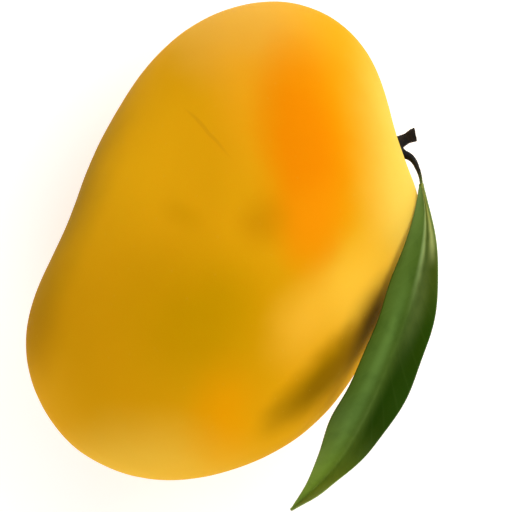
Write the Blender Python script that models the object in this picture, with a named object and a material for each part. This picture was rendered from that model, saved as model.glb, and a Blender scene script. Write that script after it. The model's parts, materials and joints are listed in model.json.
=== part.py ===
# A ripe mango as picked: the fruit lies on one broad cheek, with the stub of its stem
# and one leaf on its stalk.
# Metres, +Z up. The origin is the middle of the flat spot that the fruit rests on.
# +Y runs along the fruit towards its stem end, and +X towards its rounded back.

import math

import bmesh
import bpy
import numpy as np
from mathutils import Vector

# Fruit: its outline lies in the seam plane, halfway up, and a cheek domes out on each side
OUTLINE_RADII = (
    0.0425, 0.0450, 0.0485, 0.0510, 0.0600, 0.0635, 0.0575, 0.0490, 0.0425,
    0.0400, 0.0410, 0.0505, 0.0590, 0.0620, 0.0590, 0.0530, 0.0480, 0.0440,
)  # every 20 degrees, from the back (+X) round past the stem end (+Y)
CHEEK_LENGTH = 0.120  # the plain oval that the outline fades into as a cheek rises
CHEEK_WIDTH = 0.083
CHEEK_HEIGHT = 0.0360  # from the seam plane to the top of a cheek
CHEEK_FULLNESS = 2.15  # 2 is an ellipse in section, more is squarer
UPPER_CHEEK_TOP = Vector((0.0005, 0.0040, 0.0))
STEM_END_SWELL = 0.10  # the upper cheek is thicker towards the stem end, by this share
REST_CUT = 0.0009  # how far the lower cheek is pressed flat
SEAM_HEIGHT = CHEEK_HEIGHT - REST_CUT
FRUIT_SIDES = 60
FRUIT_RINGS = 25

# Stem: its knuckle sits in the fruit's rim, and the picked stub stands on the knuckle
FIT_GAP = 0.0003
RIM_TURN = math.radians(42)  # the way out of the rim there, from +X
KNUCKLE_CENTRE = Vector((0.0278, 0.0407, SEAM_HEIGHT))
KNUCKLE_RADII = Vector((0.0016, 0.0031, 0.0021))  # out of the rim, along it and upwards
BASIN_DEPTH = 0.0010
BASIN_SPREAD = 0.0050
ROOT_RADIUS = 0.0013
ROOT_DEPTH = 0.0050
STUB_START = Vector((0.0269, 0.0415, SEAM_HEIGHT))
STUB_TURN = math.radians(51)
STUB_RISE = math.radians(5)
STUB_LENGTH = 0.0055
STUB_PROFILE = ((0.0, 0.00172), (0.30, 0.00140), (0.60, 0.00132), (0.90, 0.00162), (1.0, 0.00160))
STUB_CUT_SLANT = math.radians(10)
STUB_SIDES = 14

# Leaf stalk: from a flat on the knuckle to the base of the blade
STALK_LINE = (
    (0.0299, 0.0400, 0.0351),
    (0.0316, 0.0400, 0.0353),
    (0.0331, 0.0394, 0.0357),
    (0.0345, 0.0382, 0.0363),
    (0.0357, 0.0368, 0.0374),
    (0.0367, 0.0351, 0.0391),
)
STALK_ROOT_RADIUS = 0.0011
STALK_TIP_RADIUS = 0.00055
STALK_RINGS = 16
STALK_SIDES = 12

# Leaf blade: folded up along its midrib, which goes on from the stalk and arches over the rim
MIDRIB_LINE = (
    (0.0403, 0.0280, 0.0470),
    (0.0436, 0.0179, 0.0512),
    (0.0459, 0.0040, 0.0524),
    (0.0470, -0.0110, 0.0510),
    (0.0475, -0.0240, 0.0467),
    (0.0468, -0.0351, 0.0402),
    (0.0444, -0.0463, 0.0312),
    (0.0422, -0.0536, 0.0242),
)
BLADE_HALF_WIDTH = 0.0088
BLADE_TAPER = 1.2  # less than 1 stays broad for longer towards both ends
BLADE_LEAN = 0.95  # less than 1 puts the broadest part nearer the base than the tip
BLADE_BASE_HALF_WIDTH = 0.0007
BLADE_TIP_HALF_WIDTH = 0.0004
BLADE_THICKNESS = 0.0007
MIDRIB_THICKNESS = 0.0008  # added under the blade
MIDRIB_SPREAD = 0.0010
MIDRIB_FADE = 0.8  # how much of that is gone at the tip
BLADE_FOLD = math.radians(38)  # how far each half rises from flat, halfway along
BLADE_END_FOLD = math.radians(25)  # what is added to that at both ends
BLADE_CREASE = 0.10  # how rounded the fold is, as a share of the half width
BLADE_CURL = math.radians(24)  # how much less steep the margin is than the midrib
BLADE_ROLL = math.radians(6)  # how far the outer half is turned up, halfway along
BLADE_END_ROLL = math.radians(27)
BLADE_ROWS = 40
BLADE_COLUMNS = (0.0, 0.10, 0.30, 0.54, 0.78, 1.0)  # shares of the half width
WAVE_HEIGHT = 0.0005
WAVES = 5.5

SKIN_YELLOW = (0.80, 0.47, 0.03, 1.0)
BARK_BROWN = (0.022, 0.012, 0.008, 1.0)
STALK_BROWN = (0.045, 0.030, 0.012, 1.0)
LEAF_GREEN = (0.065, 0.14, 0.014, 1.0)


def clear_scene():
    for old in list(bpy.data.objects):
        bpy.data.objects.remove(old)


def material(name, colour, roughness):
    made = bpy.data.materials.new(name)
    made.use_nodes = True
    shader = made.node_tree.nodes["Principled BSDF"]
    shader.inputs["Base Color"].default_value = colour
    shader.inputs["Roughness"].default_value = roughness
    shader.inputs["Metallic"].default_value = 0.0
    made.diffuse_color = colour
    return made


def object_from(name, mesh_maker, finish=None):
    """Closes the bmesh into a smooth-shaded object, with its faces pointing out."""
    bmesh.ops.recalc_face_normals(mesh_maker, faces=mesh_maker.faces)
    mesh = bpy.data.meshes.new(name)
    mesh_maker.to_mesh(mesh)
    mesh_maker.free()
    mesh.shade_smooth()
    mesh.set_sharp_from_angle(angle=math.radians(50))
    if finish:
        mesh.materials.append(finish)
    made = bpy.data.objects.new(name, mesh)
    bpy.context.scene.collection.objects.link(made)
    return made


def hide_helper(helper):
    helper.hide_render = True
    helper.display_type = "WIRE"
    return helper


def add_boolean(target, helper, operation):
    step = target.modifiers.new(helper.name, "BOOLEAN")
    step.operation = operation
    step.solver = "EXACT"
    step.object = helper


def bridge_rings(bm, rings):
    """Joins closed rings of equal length, one after the other."""
    for lower, upper in zip(rings, rings[1:]):
        count = len(lower)
        for k in range(count):
            bm.faces.new((lower[k], lower[(k + 1) % count], upper[(k + 1) % count], upper[k]))


def smooth_line(points, count):
    """A smooth line through the points (a natural cubic spline), at even steps along it."""
    knots = np.array(points)
    steps = np.linalg.norm(np.diff(knots, axis=0), axis=1)
    at = np.concatenate(([0.0], np.cumsum(steps)))
    size = len(knots)
    system = np.eye(size)
    right = np.zeros((size, 3))
    for k in range(1, size - 1):
        before, after = steps[k - 1], steps[k]
        system[k, k - 1 : k + 2] = before, 2 * (before + after), after
        right[k] = 6 * ((knots[k + 1] - knots[k]) / after - (knots[k] - knots[k - 1]) / before)
    bend = np.linalg.solve(system, right)
    line = []
    for place in np.linspace(0.0, at[-1], count):
        k = min(int(np.searchsorted(at, place, side="right")) - 1, size - 2)
        gap, a, b = steps[k], at[k + 1] - place, place - at[k]
        line.append(Vector(
            (bend[k] * a**3 + bend[k + 1] * b**3) / (6 * gap)
            + (knots[k] / gap - bend[k] * gap / 6) * a
            + (knots[k + 1] / gap - bend[k + 1] * gap / 6) * b
        ))
    return line


def tangents(line):
    ends = [line[0], *line, line[-1]]
    return [(after - before).normalized() for before, after in zip(ends, ends[2:])]


def outline_radius(angle):
    """The outline's radius at an angle: the smoothest closed curve through OUTLINE_RADII."""
    count = len(OUTLINE_RADII)
    total = 0.0
    for k, radius in enumerate(OUTLINE_RADII):
        away = (angle - 2 * math.pi * k / count + math.pi) % (2 * math.pi) - math.pi
        if abs(away) < 1e-9:
            return radius
        total += radius * math.sin(count * away / 2) / (count * math.tan(away / 2))
    return total


def oval_radius(angle):
    long, short = CHEEK_LENGTH / 2, CHEEK_WIDTH / 2
    return long * short / math.hypot(long * math.cos(angle), short * math.sin(angle))


def stem_basin(point):
    """How far the skin dips at this point, in the shallow basin round the stem."""
    away = (point - KNUCKLE_CENTRE).length / BASIN_SPREAD
    return BASIN_DEPTH * math.exp(-away * away)


def fruit_point(angle, rise):
    """A point of the skin. rise is -90 degrees at the lowest point and 90 at the top."""
    up = math.copysign(abs(math.sin(rise)) ** (2 / CHEEK_FULLNESS), rise)
    out = max(math.cos(rise), 0.0) ** (2 / CHEEK_FULLNESS)
    fade = up * up
    radius = out * ((1 - fade) * outline_radius(angle) + fade * oval_radius(angle))
    outwards = Vector((math.cos(angle), math.sin(angle), 0.0))
    point = outwards * radius
    height = CHEEK_HEIGHT * up
    if up > 0:
        point += UPPER_CHEEK_TOP * fade
        height *= 1 + STEM_END_SWELL * point.y / (CHEEK_LENGTH / 2)
    point.z = SEAM_HEIGHT + height
    return point - outwards * stem_basin(point)


def flat_spot_rise():
    """The rise at which the lower cheek meets the table."""
    return -math.asin((SEAM_HEIGHT / CHEEK_HEIGHT) ** (CHEEK_FULLNESS / 2))


def build_fruit(finish):
    bm = bmesh.new()
    lowest = flat_spot_rise()
    rings = []
    for k in range(FRUIT_RINGS):
        rise = lowest + (math.pi / 2 - lowest) * k / FRUIT_RINGS
        turns = [2 * math.pi * n / FRUIT_SIDES for n in range(FRUIT_SIDES)]
        rings.append([bm.verts.new(fruit_point(turn, rise)) for turn in turns])
    bridge_rings(bm, rings)
    bm.faces.new(rings[0])
    top = bm.verts.new(fruit_point(0.0, math.pi / 2))
    for k in range(FRUIT_SIDES):
        bm.faces.new((rings[-1][k], rings[-1][(k + 1) % FRUIT_SIDES], top))
    fruit = object_from("fruit", bm, finish)
    add_boolean(fruit, knuckle("knuckle_recess", FIT_GAP), "DIFFERENCE")
    add_boolean(fruit, stem_root("root_hole", FIT_GAP), "DIFFERENCE")
    return fruit


def place_along(bm, centre, turn, rise=0.0):
    """Turns a shape made along +X to its heading and moves it to its centre."""
    heading = Vector((math.cos(turn) * math.cos(rise), math.sin(turn) * math.cos(rise), math.sin(rise)))
    spin = heading.to_track_quat("X", "Z").to_matrix().to_4x4()
    bmesh.ops.transform(bm, matrix=spin, verts=bm.verts)
    bmesh.ops.translate(bm, vec=centre, verts=bm.verts)


def knuckle(name, grow):
    """The swelling where the stem meets the rim, or the recess for it."""
    bm = bmesh.new()
    bmesh.ops.create_uvsphere(bm, u_segments=18, v_segments=12, radius=1.0)
    bmesh.ops.scale(bm, vec=KNUCKLE_RADII + Vector((grow, grow, grow)), verts=bm.verts)
    place_along(bm, KNUCKLE_CENTRE, RIM_TURN)
    return hide_helper(object_from(name, bm))


def turned(profile, sides):
    """A bmesh turned round +X: profile holds (place along X, radius) pairs."""
    bm = bmesh.new()
    rings = []
    for place, radius in profile:
        turns = [2 * math.pi * k / sides for k in range(sides)]
        rings.append([bm.verts.new((place, radius * math.cos(a), radius * math.sin(a))) for a in turns])
    bridge_rings(bm, rings)
    bm.faces.new(rings[0])
    bm.faces.new(rings[-1])
    return bm


def stem_root(name, grow):
    """The woody root that goes into the fruit, or the hole for it."""
    bm = turned(((-ROOT_DEPTH - grow, ROOT_RADIUS * 0.8 + grow), (0.0, ROOT_RADIUS + grow)), STUB_SIDES)
    place_along(bm, KNUCKLE_CENTRE, RIM_TURN)
    return hide_helper(object_from(name, bm))


def knuckle_flat():
    """A block that cuts the knuckle flat where the leaf stalk grows from it."""
    start, onward = (Vector(point) for point in STALK_LINE[:2])
    ahead = (onward - start).normalized()
    half = KNUCKLE_RADII.y * 0.7
    bm = bmesh.new()
    bmesh.ops.create_cube(bm, size=2 * half)
    place_along(bm, start + ahead * (half - FIT_GAP), math.atan2(ahead.y, ahead.x))
    return hide_helper(object_from("knuckle_flat", bm))


def build_stem(finish):
    bm = turned([(share * STUB_LENGTH, radius) for share, radius in STUB_PROFILE], STUB_SIDES)
    for vert in bm.verts:
        if vert.co.x > STUB_LENGTH * 0.9:
            vert.co.x += vert.co.y * math.tan(STUB_CUT_SLANT)
    place_along(bm, STUB_START, STUB_TURN, STUB_RISE)
    stem = object_from("stem", bm, finish)
    add_boolean(stem, knuckle("knuckle", 0.0), "UNION")
    add_boolean(stem, stem_root("root", 0.0), "UNION")
    add_boolean(stem, knuckle_flat(), "DIFFERENCE")
    return stem


def build_leaf_stalk(finish):
    bm = bmesh.new()
    line = smooth_line(STALK_LINE, STALK_RINGS)
    rings = []
    for k, (point, ahead) in enumerate(zip(line, tangents(line))):
        share = k / (STALK_RINGS - 1)
        radius = STALK_TIP_RADIUS + (STALK_ROOT_RADIUS - STALK_TIP_RADIUS) * (1 - share) ** 1.6
        side = ahead.cross(Vector((0.0, 0.0, 1.0))).normalized()
        above = side.cross(ahead)
        turns = [2 * math.pi * n / STALK_SIDES for n in range(STALK_SIDES)]
        ring = [point + (side * math.cos(a) + above * math.sin(a)) * radius for a in turns]
        rings.append([bm.verts.new(place) for place in ring])
    bridge_rings(bm, rings)
    bm.faces.new(rings[0])
    bm.faces.new(rings[-1])
    return object_from("leaf_stalk", bm, finish)


def midrib_points():
    """MIDRIB_LINE with its start, a fitting gap on from the end of the stalk."""
    end = Vector(STALK_LINE[-1])
    start = end + (Vector(MIDRIB_LINE[0]) - end).normalized() * FIT_GAP
    return [tuple(start), *MIDRIB_LINE]


def half_width(share):
    ends = BLADE_BASE_HALF_WIDTH + (BLADE_TIP_HALF_WIDTH - BLADE_BASE_HALF_WIDTH) * share
    return ends + (BLADE_HALF_WIDTH - ends) * mid_share(share**BLADE_LEAN) ** BLADE_TAPER


def mid_share(share):
    """1 halfway along the blade, falling to 0 at its base and its tip."""
    return max(math.sin(math.pi * share), 0.0)


def blade_row(point, ahead, share):
    """The upper and the lower points of one row across the blade, from the fruit's side out."""
    level = ahead.cross(Vector((0.0, 0.0, 1.0))).normalized()
    end_share = (2 * share - 1) ** 2
    roll = BLADE_ROLL + BLADE_END_ROLL * end_share
    inner = level * math.cos(roll) - level.cross(ahead) * math.sin(roll)
    above = inner.cross(ahead)
    width = half_width(share)
    fold = (BLADE_FOLD + BLADE_END_FOLD * end_share) * mid_share(share) ** 0.15
    upper, lower = {}, {}
    for way in (1, -1):
        place, slope = point.copy(), 0.0
        for k, column in enumerate(BLADE_COLUMNS):
            if k:
                middle = (column + BLADE_COLUMNS[k - 1]) / 2
                crease = 1 - math.exp(-middle / BLADE_CREASE)
                slope = fold * crease + BLADE_CURL * (0.5 - middle) * mid_share(share)
                step = (column - BLADE_COLUMNS[k - 1]) * width
                place = place + (inner * way * math.cos(slope) + above * math.sin(slope)) * step
            face = above * math.cos(slope) - inner * way * math.sin(slope)
            wave = math.sin(2 * math.pi * WAVES * share + way)
            wave *= WAVE_HEIGHT * column**2 * mid_share(share)
            rib = math.exp(-((column * width / MIDRIB_SPREAD) ** 2))
            rib *= MIDRIB_THICKNESS * (1 - MIDRIB_FADE * share)
            upper[way * k] = place + face * (BLADE_THICKNESS / 2 + wave)
            lower[way * k] = place - face * (BLADE_THICKNESS / 2 - wave + rib)
    order = range(len(BLADE_COLUMNS) - 1, -len(BLADE_COLUMNS), -1)
    return [upper[k] for k in order], [lower[k] for k in order]


def build_leaf_blade(finish):
    bm = bmesh.new()
    line = smooth_line(midrib_points(), BLADE_ROWS)
    rows = []
    for k, (point, ahead) in enumerate(zip(line, tangents(line))):
        upper, lower = blade_row(point, ahead, k / (BLADE_ROWS - 1))
        rows.append(([bm.verts.new(p) for p in upper], [bm.verts.new(p) for p in lower]))
    for (upper, lower), (next_upper, next_lower) in zip(rows, rows[1:]):
        for k in range(len(upper) - 1):  # both faces are split into triangles alike
            for a, b in ((upper, next_upper), (lower, next_lower)):
                bm.faces.new((a[k], a[k + 1], b[k + 1]))
                bm.faces.new((a[k], b[k + 1], b[k]))
        for k in (0, -1):
            bm.faces.new((upper[k], next_upper[k], next_lower[k], lower[k]))
    for upper, lower in (rows[0], rows[-1]):
        for k in range(len(upper) - 1):
            bm.faces.new((upper[k], upper[k + 1], lower[k + 1], lower[k]))
    return object_from("leaf_blade", bm, finish)


def main():
    clear_scene()
    build_fruit(material("mango skin", SKIN_YELLOW, 0.45))
    build_stem(material("stem bark", BARK_BROWN, 0.75))
    build_leaf_stalk(material("leaf stalk bark", STALK_BROWN, 0.6))
    build_leaf_blade(material("mango leaf", LEAF_GREEN, 0.4))


main()
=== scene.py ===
# A ripe mango lying on its cheek, with its picked stem and one leaf, on a pale table.
# Metres throughout. +Y runs to the stem end, +X to the back of the fruit, +Z up.
import json
import math

import bpy
from mathutils import Matrix, Vector

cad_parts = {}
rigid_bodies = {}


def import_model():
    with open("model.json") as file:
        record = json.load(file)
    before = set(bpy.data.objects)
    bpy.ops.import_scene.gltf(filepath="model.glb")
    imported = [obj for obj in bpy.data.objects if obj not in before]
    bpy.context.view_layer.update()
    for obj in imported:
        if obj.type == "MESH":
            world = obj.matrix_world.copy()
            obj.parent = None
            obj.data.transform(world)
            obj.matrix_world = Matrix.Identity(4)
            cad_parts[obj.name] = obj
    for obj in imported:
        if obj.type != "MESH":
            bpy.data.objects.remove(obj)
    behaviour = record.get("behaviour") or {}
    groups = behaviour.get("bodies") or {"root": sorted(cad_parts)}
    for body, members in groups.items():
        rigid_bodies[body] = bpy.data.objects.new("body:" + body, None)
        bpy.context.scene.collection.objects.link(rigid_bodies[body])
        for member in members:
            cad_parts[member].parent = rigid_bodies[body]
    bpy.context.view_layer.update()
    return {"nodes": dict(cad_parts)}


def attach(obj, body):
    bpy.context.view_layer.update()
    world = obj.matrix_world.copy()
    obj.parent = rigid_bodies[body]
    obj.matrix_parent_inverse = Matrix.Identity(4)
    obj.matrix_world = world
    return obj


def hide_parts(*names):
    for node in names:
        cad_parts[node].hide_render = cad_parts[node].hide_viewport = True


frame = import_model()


# Helpers

def linearColour(hexCode):
    channels = [int(hexCode[k:k + 2], 16) / 255 for k in (1, 3, 5)]
    return tuple(c / 12.92 if c < 0.04045 else ((c + 0.055) / 1.055) ** 2.4 for c in channels) + (1,)


def addNode(tree, kind, settings=None, inputs=None):
    node = tree.nodes.new(kind)
    for name, value in (settings or {}).items():
        setattr(node, name, value)
    for name, value in (inputs or {}).items():
        if isinstance(value, bpy.types.NodeSocket):
            tree.links.new(value, node.inputs[name])
        else:
            node.inputs[name].default_value = value
    return node


def number(tree, operation, *values):
    return addNode(tree, "ShaderNodeMath", {"operation": operation}, dict(enumerate(values))).outputs[0]


def fadeBetween(tree, value, low, high, strength):  # 0 at low, strength at high
    return addNode(tree, "ShaderNodeMapRange", {"interpolation_type": "SMOOTHSTEP"},
                   {"Value": value, "From Min": low, "From Max": high, "To Max": strength}).outputs[0]


def layColour(tree, share, below, hexCode):  # paints one colour over another
    return addNode(tree, "ShaderNodeMix", {"data_type": "RGBA"},
                   {0: share, 6: below, 7: linearColour(hexCode)}).outputs[2]


def newMaterial(name):
    material = bpy.data.materials.new(name)
    material.use_nodes = True
    return material, material.node_tree, material.node_tree.nodes["Principled BSDF"]


def deselectAll():
    if bpy.context.mode != "OBJECT":
        bpy.ops.object.mode_set(mode="OBJECT")
    bpy.ops.object.select_all(action="DESELECT")


def onlyThis(piece):
    deselectAll()
    piece.select_set(True)
    bpy.context.view_layer.objects.active = piece


def startPiece(name):  # names the primitive that was just added
    piece = bpy.context.active_object
    piece.name = name
    piece.data.name = name
    return piece


def useModifier(piece, kind, **settings):
    modifier = piece.modifiers.new(kind.title(), kind)
    for name, value in settings.items():
        setattr(modifier, name, value)
    onlyThis(piece)
    bpy.ops.object.modifier_apply(modifier=modifier.name)


def pickVertices(piece, wanted):  # leaves the piece in edit mode with these vertices picked
    if bpy.context.mode != "OBJECT":
        bpy.ops.object.mode_set(mode="OBJECT")
    onlyThis(piece)
    bpy.ops.object.mode_set(mode="EDIT")
    bpy.ops.mesh.select_mode(type="VERT")
    bpy.ops.mesh.select_all(action="DESELECT")
    bpy.ops.object.mode_set(mode="OBJECT")
    for vertex in piece.data.vertices:
        vertex.select = bool(wanted(vertex))
    bpy.ops.object.mode_set(mode="EDIT")


def cloudTexture(name, size, depth=2):
    texture = bpy.data.textures.new(name, "CLOUDS")
    texture.noise_scale = size
    texture.noise_depth = depth
    return texture


def mergedCopy(node):  # a CAD node as one closed mesh, to fit pieces to
    onlyThis(frame["nodes"][node])
    bpy.ops.object.duplicate()
    copy = startPiece(node + "Guide")
    bpy.ops.object.parent_clear(type="CLEAR_KEEP_TRANSFORM")
    bpy.ops.object.mode_set(mode="EDIT")
    bpy.ops.mesh.select_all(action="SELECT")
    bpy.ops.mesh.remove_doubles(threshold=0.00001)
    bpy.ops.object.mode_set(mode="OBJECT")
    return copy


def taperedRod(name, line, radii, roundness, steps):  # a round curve through the line, as a mesh
    deselectAll()
    bpy.ops.curve.primitive_bezier_curve_add(radius=1)
    rod = startPiece(name)
    spline = rod.data.splines[0]
    spline.bezier_points.add(len(line) - 2)
    for point, place, radius in zip(spline.bezier_points, line, radii):
        point.co = place
        point.radius = radius / radii[0]
        point.handle_left_type = point.handle_right_type = "AUTO"
    rod.data.dimensions = "3D"
    rod.data.bevel_depth = radii[0]
    rod.data.bevel_resolution = roundness
    rod.data.resolution_u = steps
    rod.data.use_fill_caps = True
    onlyThis(rod)
    bpy.ops.object.convert(target="MESH")
    bpy.ops.object.transform_apply(location=True, rotation=True, scale=True)
    bpy.ops.object.mode_set(mode="EDIT")
    bpy.ops.mesh.select_all(action="SELECT")
    bpy.ops.mesh.remove_doubles(threshold=0.000001)
    bpy.ops.mesh.normals_make_consistent(inside=False)
    bpy.ops.object.mode_set(mode="OBJECT")
    return rod


# Camera: straight above the fruit, as the photograph looks at its broad side

view = {
    "over": (0.00714, 0.00167),
    "height": 0.4601,
    "turn": math.radians(24.5),
    "lens": 120,
}

deselectAll()
bpy.ops.object.camera_add(location=(*view["over"], view["height"]), rotation=(0, 0, view["turn"]))
camera = bpy.context.active_object
camera.name = "camera"
camera.data.lens = view["lens"]
camera.data.sensor_width = 36
camera.data.clip_start = 0.01
bpy.context.scene.camera = camera
bpy.context.scene.view_settings.view_transform = "Standard"
print("camera set")


# Fruit: a cube blown up to the skin, then relaxed until its bumps are gone

fruitSkin = {
    "cubeCuts": 19,
    "middle": (0, 0, 0.0352),
    "halfSize": (0.0440, 0.0640, 0.0370),
    "relaxRounds": 6,
    "plump": 0.00034,  # gives back what the relaxing takes
    "pushes": (  # place, push and reach
        ((0.0388, 0.0285, 0.0352), (0.00085, 0.00050, 0), 0.020),  # shoulder
        ((0.0310, 0.0390, 0.0352), (-0.00060, -0.00045, 0), 0.010),  # dip at the stem
        ((0.0340, -0.0270, 0.0352), (0.00060, -0.00040, 0), 0.030),  # foot of the back
        ((-0.0390, 0.0030, 0.0352), (0.00045, 0, 0), 0.040),  # hollow of the belly
        ((0.0140, 0.0550, 0.0352), (0.00030, 0.00030, 0), 0.020),  # crown
        ((-0.0150, -0.0580, 0.0352), (-0.00010, -0.00030, 0), 0.014),  # tip
    ),
    "swell": 0.0006,  # how high the broad swells of the skin stand
    "swellSize": 0.030,
    "ripple": 0.00012,
    "rippleSize": 0.007,
    "stemPlace": (0.0278, 0.0407, 0.0351),
    "closeReach": 0.0045,  # the skin closes over the hole for the stem this far round it
    "restHeight": 0.00025,  # what lies lower is pressed flat on the table
}

fruitGuide = mergedCopy("fruit")
deselectAll()
bpy.ops.mesh.primitive_cube_add(size=2)
fruit = startPiece("mangoFruit")
bpy.ops.object.mode_set(mode="EDIT")
bpy.ops.mesh.subdivide(number_cuts=fruitSkin["cubeCuts"])
bpy.ops.object.mode_set(mode="OBJECT")
useModifier(fruit, "CAST", factor=1.0, radius=1.0, use_radius_as_size=False)
bpy.ops.object.mode_set(mode="EDIT")
bpy.ops.mesh.select_all(action="SELECT")
bpy.ops.transform.resize(value=fruitSkin["halfSize"], center_override=(0, 0, 0))
bpy.ops.transform.translate(value=fruitSkin["middle"])
bpy.ops.object.mode_set(mode="OBJECT")
useModifier(fruit, "SHRINKWRAP", target=fruitGuide, wrap_method="TARGET_PROJECT")
pickVertices(fruit, lambda v: (v.co - Vector(fruitSkin["stemPlace"])).length < fruitSkin["closeReach"])
bpy.ops.mesh.vertices_smooth(factor=0.5, repeat=20)
bpy.ops.object.mode_set(mode="OBJECT")
useModifier(fruit, "SMOOTH", factor=0.5, iterations=fruitSkin["relaxRounds"])
for pushPlace, push, reach in fruitSkin["pushes"]:
    nearest = min(fruit.data.vertices, key=lambda v: (v.co - Vector(pushPlace)).length).index
    pickVertices(fruit, lambda v: v.index == nearest)
    bpy.ops.transform.translate(value=push, use_proportional_edit=True,
                                proportional_edit_falloff="SMOOTH", proportional_size=reach)
bpy.ops.object.mode_set(mode="OBJECT")
useModifier(fruit, "SUBSURF", levels=2, render_levels=2)
useModifier(fruit, "DISPLACE", strength=fruitSkin["plump"], mid_level=0)
useModifier(fruit, "DISPLACE", texture=cloudTexture("skinSwell", fruitSkin["swellSize"]),
            strength=fruitSkin["swell"], mid_level=0.5, texture_coords="LOCAL")
useModifier(fruit, "DISPLACE", texture=cloudTexture("skinRipple", fruitSkin["rippleSize"]),
            strength=fruitSkin["ripple"], mid_level=0.5, texture_coords="LOCAL")
pickVertices(fruit, lambda v: v.co.z < fruitSkin["restHeight"])
bpy.ops.transform.resize(value=(1, 1, 0), center_override=(0, 0, 0))
bpy.ops.object.mode_set(mode="OBJECT")
bpy.ops.object.shade_smooth()
bpy.data.objects.remove(fruitGuide)
print("fruit shaped:", len(fruit.data.polygons), "faces")


# Stem: the stub that was left when the fruit was picked, on its knuckle

stemWood = {
    "knucklePlace": (0.0278, 0.0407, 0.0351),
    "knuckleHalfSize": (0.00155, 0.00305, 0.0020),
    "knuckleTurn": math.radians(42),
    "stubPlace": (0.0268, 0.0409, 0.0351),
    "stubTurn": math.radians(51),
    "stubRise": math.radians(5),
    "stubLength": 0.0062,
    "stubRadius": 0.00150,
    "waists": (1.34, 1.32, 1.26, 1.10, 0.97, 0.92, 0.94, 1.04, 1.14, 1.16),
    "breakSlant": math.radians(15),
    "barkRim": 0.0005,  # bark left round the pith, and the slope down into it
    "pithSlope": 0.00025,
    "pithDepth": 0.0005,
    "meshStep": 0.00013,
    "lump": 0.00022,
    "lumpSize": 0.0011,
    "grain": 0.00012,
    "grainSize": 0.00035,
}


def turnPicked(angle, axis, centre=(0, 0, 0)):  # right-handed; transform.rotate turns the other way
    bpy.ops.transform.rotate(value=-angle, orient_axis=axis, center_override=centre)


deselectAll()
bpy.ops.mesh.primitive_cylinder_add(vertices=24, radius=stemWood["stubRadius"],
                                    depth=stemWood["stubLength"],
                                    location=(0, 0, stemWood["stubLength"] / 2))
bpy.ops.object.transform_apply(location=True, rotation=True, scale=True)
stub = startPiece("stemStub")
rings = len(stemWood["waists"])
bpy.ops.object.mode_set(mode="EDIT")
bpy.ops.mesh.select_mode(type="EDGE")
bpy.ops.mesh.select_all(action="DESELECT")
bpy.ops.object.mode_set(mode="OBJECT")
for edge in stub.data.edges:
    ends = [stub.data.vertices[k].co for k in edge.vertices]
    edge.select = abs(ends[0].z - ends[1].z) > 0.001
bpy.ops.object.mode_set(mode="EDIT")
bpy.ops.mesh.subdivide(number_cuts=rings - 2)
bpy.ops.object.mode_set(mode="OBJECT")
for ring, waist in enumerate(stemWood["waists"]):
    height = stemWood["stubLength"] * ring / (rings - 1)
    pickVertices(stub, lambda v: abs(v.co.z - height) < 0.0001)
    bpy.ops.transform.resize(value=(waist, waist, 1), center_override=(0, 0, height))
bpy.ops.object.mode_set(mode="OBJECT")
pickVertices(stub, lambda v: v.co.z > stemWood["stubLength"] - 0.0001)
turnPicked(stemWood["breakSlant"], "X", (0, 0, stemWood["stubLength"]))
bpy.ops.mesh.select_mode(type="FACE")
bpy.ops.mesh.inset(thickness=stemWood["barkRim"], depth=0)
bpy.ops.mesh.inset(thickness=stemWood["pithSlope"], depth=-stemWood["pithDepth"])
bpy.ops.mesh.select_mode(type="VERT")
bpy.ops.mesh.select_all(action="SELECT")
turnPicked(math.pi / 2 - stemWood["stubRise"], "Y")
turnPicked(stemWood["stubTurn"], "Z")
bpy.ops.transform.translate(value=stemWood["stubPlace"])
bpy.ops.object.mode_set(mode="OBJECT")

deselectAll()
bpy.ops.mesh.primitive_uv_sphere_add(segments=32, ring_count=20, radius=1)
knuckle = startPiece("knuckle")
bpy.ops.object.mode_set(mode="EDIT")
bpy.ops.mesh.select_all(action="SELECT")
bpy.ops.transform.resize(value=stemWood["knuckleHalfSize"], center_override=(0, 0, 0))
turnPicked(stemWood["knuckleTurn"], "Z")
bpy.ops.transform.translate(value=stemWood["knucklePlace"])
bpy.ops.object.mode_set(mode="OBJECT")
stub.select_set(True)
bpy.context.view_layer.objects.active = stub
bpy.ops.object.join()
useModifier(stub, "REMESH", mode="VOXEL", voxel_size=stemWood["meshStep"])
useModifier(stub, "SMOOTH", factor=0.5, iterations=3)
useModifier(stub, "DISPLACE", texture=cloudTexture("barkLumps", stemWood["lumpSize"]),
            strength=stemWood["lump"], mid_level=0.5, texture_coords="LOCAL")
useModifier(stub, "DISPLACE", texture=cloudTexture("barkGrain", stemWood["grainSize"]),
            strength=stemWood["grain"], mid_level=0.5, texture_coords="LOCAL")
bpy.ops.object.shade_smooth()
print("stem shaped:", len(stub.data.polygons), "faces")


# Stalk of the leaf: a tapering curve out of the knuckle, drying dark at its root

leafStalk = {
    "line": (
        (0.0287, 0.0403, 0.0351), (0.0299, 0.0400, 0.0351), (0.0316, 0.0400, 0.0353),
        (0.0331, 0.0394, 0.0357), (0.0345, 0.0382, 0.0363), (0.0357, 0.0368, 0.0374),
        (0.0367, 0.0351, 0.0391), (0.0372, 0.0341, 0.0400),
    ),
    "radii": (0.00125, 0.00115, 0.00092, 0.00074, 0.00058, 0.00046, 0.00040, 0.00034),
    "wrinkle": 0.00010,
    "wrinkleSize": 0.0008,
}

stalk = taperedRod("leafStalk", leafStalk["line"], leafStalk["radii"], roundness=5, steps=10)
useModifier(stalk, "DISPLACE", texture=cloudTexture("stalkWrinkles", leafStalk["wrinkleSize"]),
            strength=leafStalk["wrinkle"], mid_level=0.5, texture_coords="LOCAL")
bpy.ops.object.shade_smooth()
print("stalk shaped:", len(stalk.data.polygons), "faces")


# Leaf blade: a flat grid, each row narrowed, folded up and laid along the midrib

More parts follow.
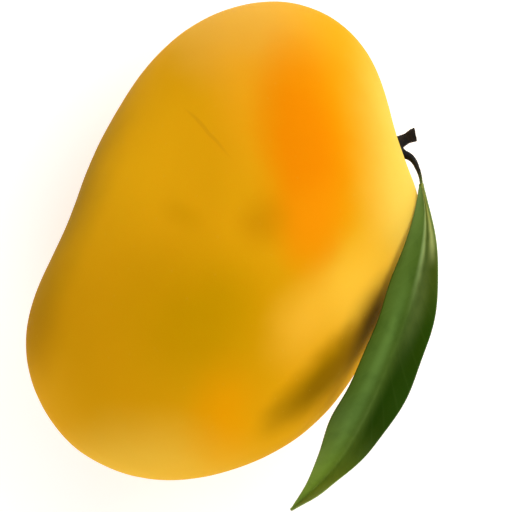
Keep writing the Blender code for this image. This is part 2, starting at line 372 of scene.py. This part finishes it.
leafBlade = {
    "midrib": (
        (0.03684, 0.03482, 0.03926), (0.0403, 0.0280, 0.0470), (0.0436, 0.0179, 0.0512),
        (0.0459, 0.0040, 0.0524), (0.0470, -0.0110, 0.0510), (0.0475, -0.0240, 0.0467),
        (0.0468, -0.0351, 0.0402), (0.0444, -0.0463, 0.0312), (0.0422, -0.0536, 0.0242),
    ),
    "rows": 56,
    "columns": 16,
    "margins": (  # share of the length, then how wide the outer and the inner half are there
        (0, 0.0005, 0.0006), (0.125, 0.0022, 0.0034), (0.25, 0.0062, 0.0066), (0.375, 0.0082, 0.0076),
        (0.5, 0.0084, 0.0078), (0.625, 0.0069, 0.0088), (0.75, 0.0046, 0.0064), (0.875, 0.0029, 0.0028),
        (1, 0.0003, 0.0003),
    ),
    "fold": math.radians(38),
    "endFold": math.radians(25),
    "foldEase": 0.15,
    "crease": 0.10,
    "curl": math.radians(24),
    "roll": math.radians(6),
    "endRoll": math.radians(27),
    "wave": 0.0004,
    "waves": 5.5,
    "thickness": 0.0004,
    "veinPairs": 19,
    "veinLean": 0.085,  # how far a side vein runs forward on its way out, as a share of the length
    "veinBend": 0.85,
    "veinSlant": 0.7,  # a slanting vein is this much narrower than its step along the blade
    "veinWidth": 0.0005,
    "veinFade": 0.6,
    "veinEnd": 8,  # how fast it runs out at the edge
    "veinRelief": 0.00004,
    "ribRadius": 0.00045,
    "ribTaper": 0.75,
    "ribDrop": 0.00022,  # how far the midrib hangs below the blade
}


def smoothLine(points, count):  # a natural cubic spline, at even steps along it
    knots = [Vector(point) for point in points]
    gaps = [(b - a).length for a, b in zip(knots, knots[1:])]
    rows, right = [], []
    for k in range(1, len(knots) - 1):
        rows.append((gaps[k - 1], 2 * (gaps[k - 1] + gaps[k]), gaps[k]))
        right.append(6 * ((knots[k + 1] - knots[k]) / gaps[k] - (knots[k] - knots[k - 1]) / gaps[k - 1]))
    for k in range(1, len(rows)):
        share = rows[k][0] / rows[k - 1][1]
        rows[k] = (0, rows[k][1] - share * rows[k - 1][2], rows[k][2])
        right[k] = right[k] - right[k - 1] * share
    bend = [Vector((0, 0, 0))] * len(knots)
    for k in range(len(rows) - 1, -1, -1):
        bend[k + 1] = (right[k] - bend[k + 2] * rows[k][2]) / rows[k][1]
    line = []
    for step in range(count):
        place, k = sum(gaps) * step / (count - 1), 0
        while k < len(gaps) - 1 and place > gaps[k]:
            place -= gaps[k]
            k += 1
        gap, a, b = gaps[k], gaps[k] - place, place
        line.append((bend[k] * a ** 3 + bend[k + 1] * b ** 3) / (6 * gap)
                    + (knots[k] / gap - bend[k] * gap / 6) * a
                    + (knots[k + 1] / gap - bend[k + 1] * gap / 6) * b)
    return line


def middleShare(share):  # 1 halfway along the blade, 0 at its ends
    return max(math.sin(math.pi * share), 0.0)


rows, columns = leafBlade["rows"], leafBlade["columns"]
deselectAll()
bpy.ops.mesh.primitive_grid_add(x_subdivisions=columns, y_subdivisions=rows, size=1)
blade = startPiece("leafBlade")
middle = columns // 2
gridPlace = [(round((v.co.x + 0.5) * columns), round((v.co.y + 0.5) * rows)) for v in blade.data.vertices]
bpy.ops.object.mode_set(mode="EDIT")
bpy.ops.mesh.select_mode(type="VERT")
midribPoints = smoothLine(leafBlade["midrib"], rows + 1)
margins = smoothLine(leafBlade["margins"], rows + 1)
bladeFrames = []


def pickGrid(row, firstColumn, lastColumn):
    bpy.ops.mesh.select_all(action="DESELECT")
    bpy.ops.object.mode_set(mode="OBJECT")
    for vertex, (column, across) in zip(blade.data.vertices, gridPlace):
        vertex.select = across == row and firstColumn <= column <= lastColumn
    bpy.ops.object.mode_set(mode="EDIT")


for row, point in enumerate(midribPoints):
    share = row / rows
    end = (2 * share - 1) ** 2
    outerWidth, innerWidth = margins[row].y, margins[row].z
    fold = (leafBlade["fold"] + leafBlade["endFold"] * end) * middleShare(share) ** leafBlade["foldEase"]
    pickGrid(row, 0, columns)
    bpy.ops.transform.translate(value=(0, 0.5 - share, 0))
    for way, width in ((1, innerWidth), (-1, outerWidth)):
        pickGrid(row, *((middle + 1, columns) if way == 1 else (0, middle - 1)))
        bpy.ops.transform.resize(value=(2 * width, 1, 1), center_override=(0, 0, 0))
        before, hinge = 0.0, Vector((0, 0, 0))
        for step in range(middle):
            across = (step + 0.5) / middle
            slope = fold * (1 - math.exp(-across / leafBlade["crease"]))
            slope += leafBlade["curl"] * (0.5 - across) * middleShare(share)
            slope += (2 * leafBlade["wave"] / width * across * middleShare(share)
                      * math.sin(2 * math.pi * leafBlade["waves"] * share + way))
            outer = (middle + step + 1, columns) if way == 1 else (0, middle - step - 1)
            pickGrid(row, *outer)
            turnPicked(-way * (slope - before), "Y", hinge)
            hinge = hinge + Vector((way * math.cos(slope), 0, math.sin(slope))) * width / middle
            before = slope
    ends = midribPoints[max(row - 1, 0)], midribPoints[min(row + 1, rows)]
    ahead = (ends[1] - ends[0]).normalized()
    level = ahead.cross(Vector((0, 0, 1))).normalized()
    roll = leafBlade["roll"] + leafBlade["endRoll"] * end
    inner = level * math.cos(roll) - level.cross(ahead) * math.sin(roll)
    above = inner.cross(ahead)
    bladeFrames.append((point, above))
    turns = Matrix((inner, ahead, above)).transposed().to_euler("XYZ")
    pickGrid(row, 0, columns)
    for axis, angle in zip("XYZ", turns):
        turnPicked(angle, axis)
    bpy.ops.transform.translate(value=point)
bpy.ops.object.mode_set(mode="OBJECT")
useModifier(blade, "SUBSURF", levels=2, render_levels=2)

# the side veins stand up a little: their weight is painted from the place across and along
cornerPlace = {}
for loop in blade.data.loops:
    cornerPlace[loop.vertex_index] = blade.data.uv_layers[0].data[loop.index].uv
veins = blade.vertex_groups.new(name="veins")
bladeLength = sum((b - a).length for a, b in zip(midribPoints, midribPoints[1:]))
for index, place in cornerPlace.items():
    side, out = (1 if place.x > 0.5 else 0), abs(2 * place.x - 1)
    start = place.y - leafBlade["veinLean"] * out ** leafBlade["veinBend"]
    phase = start * leafBlade["veinPairs"] + 0.5 * side
    away = abs(phase - round(phase)) / leafBlade["veinPairs"] * bladeLength * leafBlade["veinSlant"]
    weight = math.exp(-(away / leafBlade["veinWidth"]) ** 2)
    weight *= (1 - leafBlade["veinFade"] * out) * min(1, leafBlade["veinEnd"] * (1 - out))
    veins.add([index], weight, "REPLACE")
useModifier(blade, "DISPLACE", strength=leafBlade["veinRelief"], mid_level=0, vertex_group="veins")
useModifier(blade, "SOLIDIFY", thickness=leafBlade["thickness"], offset=0, material_offset=1)
bpy.ops.object.shade_smooth()
print("blade shaped:", len(blade.data.polygons), "faces")

# the midrib runs on from the stalk under the blade
ribFrames = bladeFrames[::4]
ribTapers = [1 - leafBlade["ribTaper"] * k / (len(ribFrames) - 1) for k in range(len(ribFrames))]
midrib = taperedRod("leafMidrib",
                    [place - above * leafBlade["ribDrop"] * taper
                     for (place, above), taper in zip(ribFrames, ribTapers)],
                    [leafBlade["ribRadius"] * taper for taper in ribTapers], roundness=4, steps=6)
bpy.ops.object.shade_smooth()
print("midrib shaped")


# Ripe mango skin: a thin waxy peel, almost matt in soft light, and light sinks into it a little

skinFinish = {
    "ground": "#eaa80f",
    "groundDeep": "#e09f08",
    "groundPatch": 0.028,  # size of the slow drift between the two
    "drift": 0.007,  # how far the edges of the patches wander
    "driftSize": 0.024,
    "roughness": 0.58,
    "roughnessDrift": 0.06,
    "shine": 0.01,
    "sheenTint": (1.0, 0.65, 0.10, 1),  # the wax takes on the colour below it
    "poreSpacing": 0.0031,
    "poreColour": "#f2c057",
    "poreFade": (0.13, 0.04, 0.07),  # its edge and middle as shares of the spacing, and its strength
    "grainSize": 0.00111,
    "grainDepth": 0.0003,
    "sinkShare": 0.12,
    "sinkRadius": (1.0, 0.45, 0.08),
    "sinkDepth": 0.0022,
}

# each patch: middle, half sizes, turn about Z, colour, strength, how much of it is soft edge. Most are tones
# of the skin; some are painted shade, painted reflection and painted highlight, as their names say
skinTonesAndPaintedLight = {
    # painted reflection: the crown made paler, as its rim would show the white table
    "crown with painted reflection": ((-0.019, 0.051, 0.048), (0.024, 0.040, 0.040), 57, "#ecaf40", 0.90, 0.8),
    "warm cheek": ((-0.0100, 0.0340, 0.066), (0.0150, 0.0280, 0.040), 38, "#f4a818", 0.70, 1.0),
    "sunlit belly side": ((-0.028, 0.006, 0.055), (0.023, 0.036, 0.040), -12, "#fcb812", 0.90, 1.0),
    "olive cheek": ((0.002, -0.018, 0.066), (0.028, 0.026, 0.060), 20, "#cf9800", 0.90, 0.9),
    "olive middle": ((0.003, -0.012, 0.071), (0.014, 0.012, 0.030), 20, "#ca9600", 0.50, 1.0),
    # painted reflection: the tip end made paler, as its rim would show the white table
    "tip end with painted reflection": ((0.002, -0.056, 0.046), (0.034, 0.019, 0.044), 24, "#f9c13c", 0.95, 0.9),
    "belly foot": ((-0.027, -0.052, 0.045), (0.017, 0.020, 0.040), 30, "#f5b01a", 0.80, 0.9),
    # painted shade: the lower end of the belly's rim darkened
    "painted shade at the belly end": ((-0.0335, -0.0370, 0.044), (0.0120, 0.0180, 0.030), 10, "#d0920c", 0.80, 0.9),
    "tip blush": ((0.016, -0.036, 0.062), (0.013, 0.020, 0.040), 22, "#f5a000", 0.70, 1.0),
    # partly the skin's yellow, partly a painted highlight where the key light falls on the back
    "yellow back with painted highlight": ((0.028, 0.036, 0.048), (0.018, 0.040, 0.040), 32, "#f2c84f", 1.00, 0.8),
    "yellow flank": ((0.033, 0.005, 0.060), (0.017, 0.019, 0.034), 10, "#fcc238", 0.90, 0.9),
    "light flank": ((0.0240, -0.0070, 0.062), (0.0115, 0.0175, 0.030), -8, "#fabc34", 0.75, 1.0),
    "soft blush": ((0.007, 0.038, 0.062), (0.023, 0.036, 0.044), 38, "#ee9a04", 0.90, 1.0),
    "orange blush": ((0.0066, 0.0290, 0.069), (0.0140, 0.0370, 0.044), 30, "#f08a02", 1.00, 0.80),
    "blush foot": ((0.0158, 0.0142, 0.069), (0.0122, 0.0145, 0.030), 20, "#f69406", 0.85, 1.0),
    "brown mark": ((0.0052, 0.0098, 0.071), (0.0085, 0.0095, 0.020), 20, "#c57f00", 0.45, 1.0),
    "small mark": ((-0.0126, 0.0030, 0.069), (0.0075, 0.0040, 0.020), 0, "#cf9400", 0.30, 1.0),
    "shaded flank": ((0.0335, -0.0187, 0.056), (0.0084, 0.0252, 0.021), -19.5, "#906700", 1.00, 0.9),
    "leaf shade": ((0.0382, -0.0010, 0.050), (0.0082, 0.0190, 0.017), -4, "#664700", 1.00, 0.9),
    # painted shade: the belly's rim darkened on the side away from the light
    "painted shade along the belly rim": ((-0.0400, -0.0030, 0.0430), (0.0140, 0.0540, 0.036), 4, "#a0780a", 0.80, 1.0),
    "rub line": ((-0.0150, 0.0227, 0.066), (0.0100, 0.0006, 0.020), -23, "#cf8f10", 0.35, 0.6),
}

skin, tree, shader = newMaterial("ripe mango skin, waxy, painted light and shade")
coordinates = addNode(tree, "ShaderNodeTexCoord").outputs["Object"]
drift = addNode(tree, "ShaderNodeTexNoise", {"noise_dimensions": "3D"},
                {"Vector": coordinates, "Scale": 1 / skinFinish["driftSize"], "Detail": 3.0})
offset = addNode(tree, "ShaderNodeVectorMath", {"operation": "SUBTRACT"},
                 {0: drift.outputs["Color"], 1: (0.5, 0.5, 0.5)}).outputs[0]
offset = addNode(tree, "ShaderNodeVectorMath", {"operation": "SCALE"},
                 {0: offset, "Scale": skinFinish["drift"]}).outputs[0]
wandering = addNode(tree, "ShaderNodeVectorMath", {"operation": "ADD"},
                    {0: coordinates, 1: offset}).outputs[0]
ground = addNode(tree, "ShaderNodeTexNoise", None,
                 {"Vector": coordinates, "Scale": 1 / skinFinish["groundPatch"], "Detail": 2.0})
colour = layColour(tree, ground.outputs["Fac"], linearColour(skinFinish["ground"]), skinFinish["groundDeep"])
for middlePlace, halfSizes, turn, hexCode, strength, softness in skinTonesAndPaintedLight.values():
    placed = addNode(tree, "ShaderNodeMapping", {"vector_type": "TEXTURE"},
                     {"Vector": wandering, "Location": middlePlace, "Scale": halfSizes,
                      "Rotation": (0, 0, math.radians(turn))})
    ball = addNode(tree, "ShaderNodeTexGradient", {"gradient_type": "SPHERICAL"},
                   {"Vector": placed.outputs[0]})
    colour = layColour(tree, fadeBetween(tree, ball.outputs["Fac"], 0.0, softness, strength), colour, hexCode)
pores = addNode(tree, "ShaderNodeTexVoronoi", {"feature": "F1"},
                {"Vector": coordinates, "Scale": 1 / skinFinish["poreSpacing"]})
colour = layColour(tree, fadeBetween(tree, pores.outputs["Distance"], *skinFinish["poreFade"]), colour,
                   skinFinish["poreColour"])
tree.links.new(colour, shader.inputs["Base Color"])
sheen = addNode(tree, "ShaderNodeMapRange", None,
                {"Value": drift.outputs["Fac"],
                 "To Min": skinFinish["roughness"] - skinFinish["roughnessDrift"],
                 "To Max": skinFinish["roughness"] + skinFinish["roughnessDrift"]})
tree.links.new(sheen.outputs[0], shader.inputs["Roughness"])
grain = addNode(tree, "ShaderNodeTexNoise", None,
                {"Vector": coordinates, "Scale": 1 / skinFinish["grainSize"], "Detail": 2.0})
bump = addNode(tree, "ShaderNodeBump", None,
               {"Height": grain.outputs["Fac"], "Strength": 0.10, "Distance": skinFinish["grainDepth"]})
tree.links.new(bump.outputs[0], shader.inputs["Normal"])
shader.inputs["IOR"].default_value = 1.45
shader.inputs["Specular IOR Level"].default_value = skinFinish["shine"]
shader.inputs["Specular Tint"].default_value = skinFinish["sheenTint"]
shader.inputs["Subsurface Weight"].default_value = skinFinish["sinkShare"]
shader.inputs["Subsurface Radius"].default_value = skinFinish["sinkRadius"]
shader.inputs["Subsurface Scale"].default_value = skinFinish["sinkDepth"]
fruit.data.materials.append(skin)


# Dry mango twig: nearly black, matt and finely cracked

barkFinish = {
    "dark": "#070403", "light": "#2a1c12",
    "grain": 0.0007,
    "crackDepth": 0.0002,
    "roughness": 0.75, "shine": 0.25,
}

bark, tree, shader = newMaterial("dry mango twig bark")
coordinates = addNode(tree, "ShaderNodeTexCoord").outputs["Object"]
grain = addNode(tree, "ShaderNodeTexNoise", None,
                {"Vector": coordinates, "Scale": 1 / barkFinish["grain"], "Detail": 6.0, "Roughness": 0.6})
ridges = addNode(tree, "ShaderNodeMapRange", None,
                 {"Value": grain.outputs["Fac"], "From Min": 0.45, "From Max": 0.75})
colour = layColour(tree, ridges.outputs[0], linearColour(barkFinish["dark"]), barkFinish["light"])
tree.links.new(colour, shader.inputs["Base Color"])
bump = addNode(tree, "ShaderNodeBump", None,
               {"Height": grain.outputs["Fac"], "Strength": 0.5, "Distance": barkFinish["crackDepth"]})
tree.links.new(bump.outputs[0], shader.inputs["Normal"])
shader.inputs["Roughness"].default_value = barkFinish["roughness"]
shader.inputs["Specular IOR Level"].default_value = barkFinish["shine"]
stub.data.materials.append(bark)


# Green leaf stalk: dark and dry at its root, fresh olive green where the blade starts

stalkFinish = {
    "root": "#080403", "middle": "#191508", "fresh": "#4f6226",
    "from": (0.0300, 0.0402, 0.0351), "to": (0.0372, 0.0345, 0.0395),
    "rootTo": 0.15, "middleAt": 0.6,
    "grainSize": 0.000556,
    "grainDepth": 0.0001,
    "roughness": 0.55, "shine": 0.15,
}

stalkSkin, tree, shader = newMaterial("mango leaf stalk, drying at the root")
coordinates = addNode(tree, "ShaderNodeTexCoord").outputs["Object"]
run = Vector(stalkFinish["to"]) - Vector(stalkFinish["from"])
along = addNode(tree, "ShaderNodeVectorMath", {"operation": "SUBTRACT"},
                {0: coordinates, 1: stalkFinish["from"]}).outputs[0]
along = addNode(tree, "ShaderNodeVectorMath", {"operation": "DOT_PRODUCT"},
                {0: along, 1: run / run.length_squared}).outputs["Value"]
ramp = addNode(tree, "ShaderNodeValToRGB", None, {"Fac": along})
ramp.color_ramp.elements[0].position = stalkFinish["rootTo"]
ramp.color_ramp.elements[0].color = linearColour(stalkFinish["root"])
ramp.color_ramp.elements[1].position = 1.0
ramp.color_ramp.elements[1].color = linearColour(stalkFinish["fresh"])
ramp.color_ramp.elements.new(stalkFinish["middleAt"]).color = linearColour(stalkFinish["middle"])
tree.links.new(ramp.outputs["Color"], shader.inputs["Base Color"])
grain = addNode(tree, "ShaderNodeTexNoise", None,
                {"Vector": coordinates, "Scale": 1 / stalkFinish["grainSize"], "Detail": 4.0})
bump = addNode(tree, "ShaderNodeBump", None,
               {"Height": grain.outputs["Fac"], "Strength": 0.35, "Distance": stalkFinish["grainDepth"]})
tree.links.new(bump.outputs[0], shader.inputs["Normal"])
shader.inputs["Roughness"].default_value = stalkFinish["roughness"]
shader.inputs["Specular IOR Level"].default_value = stalkFinish["shine"]
stalk.data.materials.append(stalkSkin)


# Mango leaf: leathery cuticle, satin above with faint veins, duller and paler below. The upper side carries
# painted highlight and painted shade

leafFinish = {
    "body": "#4c6620", "paintedHighlight": "#66863a", "dark": "#264803", "base": "#5a7432", "baseHighlightStreak": "#c0d68c",
    "tip": "#7f9a28", "vein": "#6f8f40", "margin": "#3f520c", "mottle": "#2f4a10",
    "under": "#7c9150", "underVein": "#a9b878",
    "paintedHighlightAt": 0.40,  # where the painted highlight runs, out from the midrib, as a share of the inner half
    "paintedShadeAt": (0.00, 0.55),  # where the painted shade is deepest, across and along the blade
    "paintedShadeReach": (0.50, 0.31),
    "mottleSize": 0.00417,
    "mottleDepth": 0.0003,
    "roughness": 0.46, "shine": 0.2, "sheenTint": (0.8, 1.0, 0.35, 1),
    "underRoughness": 0.62, "underShine": 0.3,
    "ribGrain": 0.000833,
    "ribRoughness": 0.5,
}

# each fade: where it starts, where it is full, and its strength there
leafFades = {
    "paintedHighlightAcross": (0.36, 0.00, 0.85), "paintedHighlightAlong": (0.20, 0.42, 1.00),
    "marginAcross": (0.72, 1.00, 0.80),
    "paintedShadeEdge": (0.00, 0.42, 1.00),
    "tipAlong": (0.60, 0.88, 0.75), "baseAlong": (0.24, 0.06, 0.70),
    "mottling": (0.42, 0.80, 0.30),
    "ribAcross": (0.05, 0.00, 1.00), "ribAlong": (0.45, 0.10, 0.25),
    "vein": (0.12, 0.00, 0.04), "underVein": (0.14, 0.00, 0.50),
}

# each pale streak at the base is a painted highlight where the light grazes the blade: its place across, its
# half width, and its fade along
leafHighlightStreaks = (
    (-0.02, 0.24, (0.36, 0.14, 0.65)),
    (-0.70, 0.38, (0.25, 0.17, 1.00)),
    (-0.30, 0.50, (0.52, 0.30, 0.12)),
)


def startLeafSkin(name):  # with the places across, from -1 to 1, and along the blade, and its mottling
    material, tree, shader = newMaterial(name)
    coordinates = addNode(tree, "ShaderNodeTexCoord")
    place = addNode(tree, "ShaderNodeSeparateXYZ", None, {0: coordinates.outputs["UV"]})
    across = number(tree, "MULTIPLY_ADD", place.outputs["X"], 2.0, -1.0)
    mottle = addNode(tree, "ShaderNodeTexNoise", None,
                     {"Vector": coordinates.outputs["Object"], "Scale": 1 / leafFinish["mottleSize"],
                      "Detail": 4.0})
    return material, tree, shader, coordinates, across, place.outputs["Y"], mottle.outputs["Fac"]


def veinShare(tree, along, across, fade):
    side = number(tree, "GREATER_THAN", across, 0.0)
    out = number(tree, "POWER", number(tree, "ABSOLUTE", across), leafBlade["veinBend"])
    start = number(tree, "SUBTRACT", along, number(tree, "MULTIPLY", out, leafBlade["veinLean"]))
    phase = number(tree, "MULTIPLY", start, float(leafBlade["veinPairs"]))
    phase = number(tree, "MULTIPLY_ADD", side, 0.5, phase)
    return fadeBetween(tree, number(tree, "PINGPONG", phase, 0.5), *fade)


leafUpper, tree, shader, coordinates, across, along, mottle = startLeafSkin("mango leaf, satin upper side, painted light and shade")
# painted highlight: a lighter band down the inner half, which faces the light
paintedHighlight = number(tree, "ABSOLUTE", number(tree, "SUBTRACT", across, leafFinish["paintedHighlightAt"]))
paintedHighlight = number(tree, "MULTIPLY", fadeBetween(tree, paintedHighlight, *leafFades["paintedHighlightAcross"]),
              fadeBetween(tree, along, *leafFades["paintedHighlightAlong"]))
colour = layColour(tree, paintedHighlight, linearColour(leafFinish["body"]), leafFinish["paintedHighlight"])
# painted shade: the inner edge darkened where it rolls down
colour = layColour(tree, fadeBetween(tree, across, *leafFades["marginAcross"]), colour, leafFinish["margin"])
# painted shade: the outer half darkened, as it turns away from the light
paintedShadePart = addNode(tree, "ShaderNodeMapping", {"vector_type": "TEXTURE"},
                   {"Vector": coordinates.outputs["UV"], "Location": (*leafFinish["paintedShadeAt"], 0),
                    "Scale": (*leafFinish["paintedShadeReach"], 1)})
paintedShadePart = addNode(tree, "ShaderNodeTexGradient", {"gradient_type": "SPHERICAL"},
                   {"Vector": paintedShadePart.outputs[0]}).outputs["Fac"]
colour = layColour(tree, fadeBetween(tree, paintedShadePart, *leafFades["paintedShadeEdge"]), colour, leafFinish["dark"])
colour = layColour(tree, fadeBetween(tree, along, *leafFades["tipAlong"]), colour, leafFinish["tip"])
colour = layColour(tree, fadeBetween(tree, along, *leafFades["baseAlong"]), colour, leafFinish["base"])
# painted highlight streaks near the base of the blade
for streakPlace, halfWidth, fadeAlong in leafHighlightStreaks:
    highlightStreak = number(tree, "ABSOLUTE", number(tree, "SUBTRACT", across, streakPlace))
    highlightStreak = number(tree, "MULTIPLY", fadeBetween(tree, highlightStreak, halfWidth, 0.0, 1.0),
                    fadeBetween(tree, along, *fadeAlong))
    colour = layColour(tree, highlightStreak, colour, leafFinish["baseHighlightStreak"])
colour = layColour(tree, fadeBetween(tree, mottle, *leafFades["mottling"]), colour, leafFinish["mottle"])
colour = layColour(tree, veinShare(tree, along, across, leafFades["vein"]), colour, leafFinish["vein"])
rib = number(tree, "ABSOLUTE", across)
rib = number(tree, "MULTIPLY", fadeBetween(tree, rib, *leafFades["ribAcross"]),
             fadeBetween(tree, along, *leafFades["ribAlong"]))
colour = layColour(tree, rib, colour, leafFinish["vein"])
tree.links.new(colour, shader.inputs["Base Color"])
bump = addNode(tree, "ShaderNodeBump", None,
               {"Height": mottle, "Strength": 0.25, "Distance": leafFinish["mottleDepth"]})
tree.links.new(bump.outputs[0], shader.inputs["Normal"])
shader.inputs["Roughness"].default_value = leafFinish["roughness"]
shader.inputs["Specular IOR Level"].default_value = leafFinish["shine"]
shader.inputs["Specular Tint"].default_value = leafFinish["sheenTint"]

leafLower, tree, shader, coordinates, across, along, mottle = startLeafSkin("mango leaf, dull under side")
colour = layColour(tree, fadeBetween(tree, mottle, *leafFades["mottling"]),
                   linearColour(leafFinish["under"]), leafFinish["body"])
colour = layColour(tree, veinShare(tree, along, across, leafFades["underVein"]), colour,
                   leafFinish["underVein"])
tree.links.new(colour, shader.inputs["Base Color"])
shader.inputs["Roughness"].default_value = leafFinish["underRoughness"]
shader.inputs["Specular IOR Level"].default_value = leafFinish["underShine"]
blade.data.materials.append(leafUpper)
blade.data.materials.append(leafLower)

ribSkin, tree, shader = newMaterial("mango leaf midrib")
coordinates = addNode(tree, "ShaderNodeTexCoord").outputs["Object"]
grain = addNode(tree, "ShaderNodeTexNoise", None,
                {"Vector": coordinates, "Scale": 1 / leafFinish["ribGrain"], "Detail": 3.0})
colour = layColour(tree, grain.outputs["Fac"], linearColour(leafFinish["under"]), leafFinish["underVein"])
tree.links.new(colour, shader.inputs["Base Color"])
shader.inputs["Roughness"].default_value = leafFinish["ribRoughness"]
midrib.data.materials.append(ribSkin)
print("materials made")


# Table and light: a white table between four soft boxes, the strongest towards the photo's right

studio = {
    "tableSize": 4,
    "tableDrop": 0.00005,  # keeps the table just clear of the skin
    "table": "#f3f3f1",
    "tableGlow": 0.42,
    "room": "#ffffff",
    "roomStrength": 0.32,
    "lookAt": (0, 0, 0.035),
}

# each soft box: way round from the photo's right, height as an angle, distance, size, power
softBoxes = {
    "keyBox": (40, 40, 0.7, 0.5, 2.30),
    "headBox": (90, 35, 0.7, 0.5, 1.40),
    "footBox": (-90, 35, 0.7, 0.5, 1.95),
    "sideBox": (0, 15, 0.7, 0.4, 0.9),
}

deselectAll()
bpy.ops.mesh.primitive_plane_add(size=studio["tableSize"], location=(0, 0, -studio["tableDrop"]))
table = startPiece("table")
tablePaint, tree, shader = newMaterial("white table, matt")
shader.inputs["Base Color"].default_value = linearColour(studio["table"])
shader.inputs["Roughness"].default_value = 0.9
shader.inputs["Specular IOR Level"].default_value = 0.1
shader.inputs["Emission Color"].default_value = (1, 1, 1, 1)
shader.inputs["Emission Strength"].default_value = studio["tableGlow"]
table.data.materials.append(tablePaint)

room = bpy.data.worlds.new("room")
room.use_nodes = True
room.node_tree.nodes["Background"].inputs["Color"].default_value = linearColour(studio["room"])
room.node_tree.nodes["Background"].inputs["Strength"].default_value = studio["roomStrength"]
bpy.context.scene.world = room

for name, (way, height, distance, size, power) in softBoxes.items():
    way, height = math.radians(way) + view["turn"], math.radians(height)
    away = Vector((math.cos(height) * math.cos(way), math.cos(height) * math.sin(way), math.sin(height)))
    bpy.ops.object.light_add(type="AREA", location=Vector(studio["lookAt"]) + distance * away)
    box = bpy.context.active_object
    box.name = name
    box.data.energy = power
    box.data.size = size
    box.rotation_euler = (-away).to_track_quat("-Z", "Y").to_euler()
print("studio lit")


# Every piece rides on the one body, and stands for the solid that it covers

for piece, node, slotName in (
    (fruit, "fruit", "mango_skin"),
    (stub, "stem", "stem_bark"),
    (stalk, "leaf_stalk", "stalk_bark"),
    (blade, "leaf_blade", "leaf_green"),
    (midrib, None, "leaf_green"),
):
    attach(piece, "root")
    if node:
        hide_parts(node)

deselectAll()
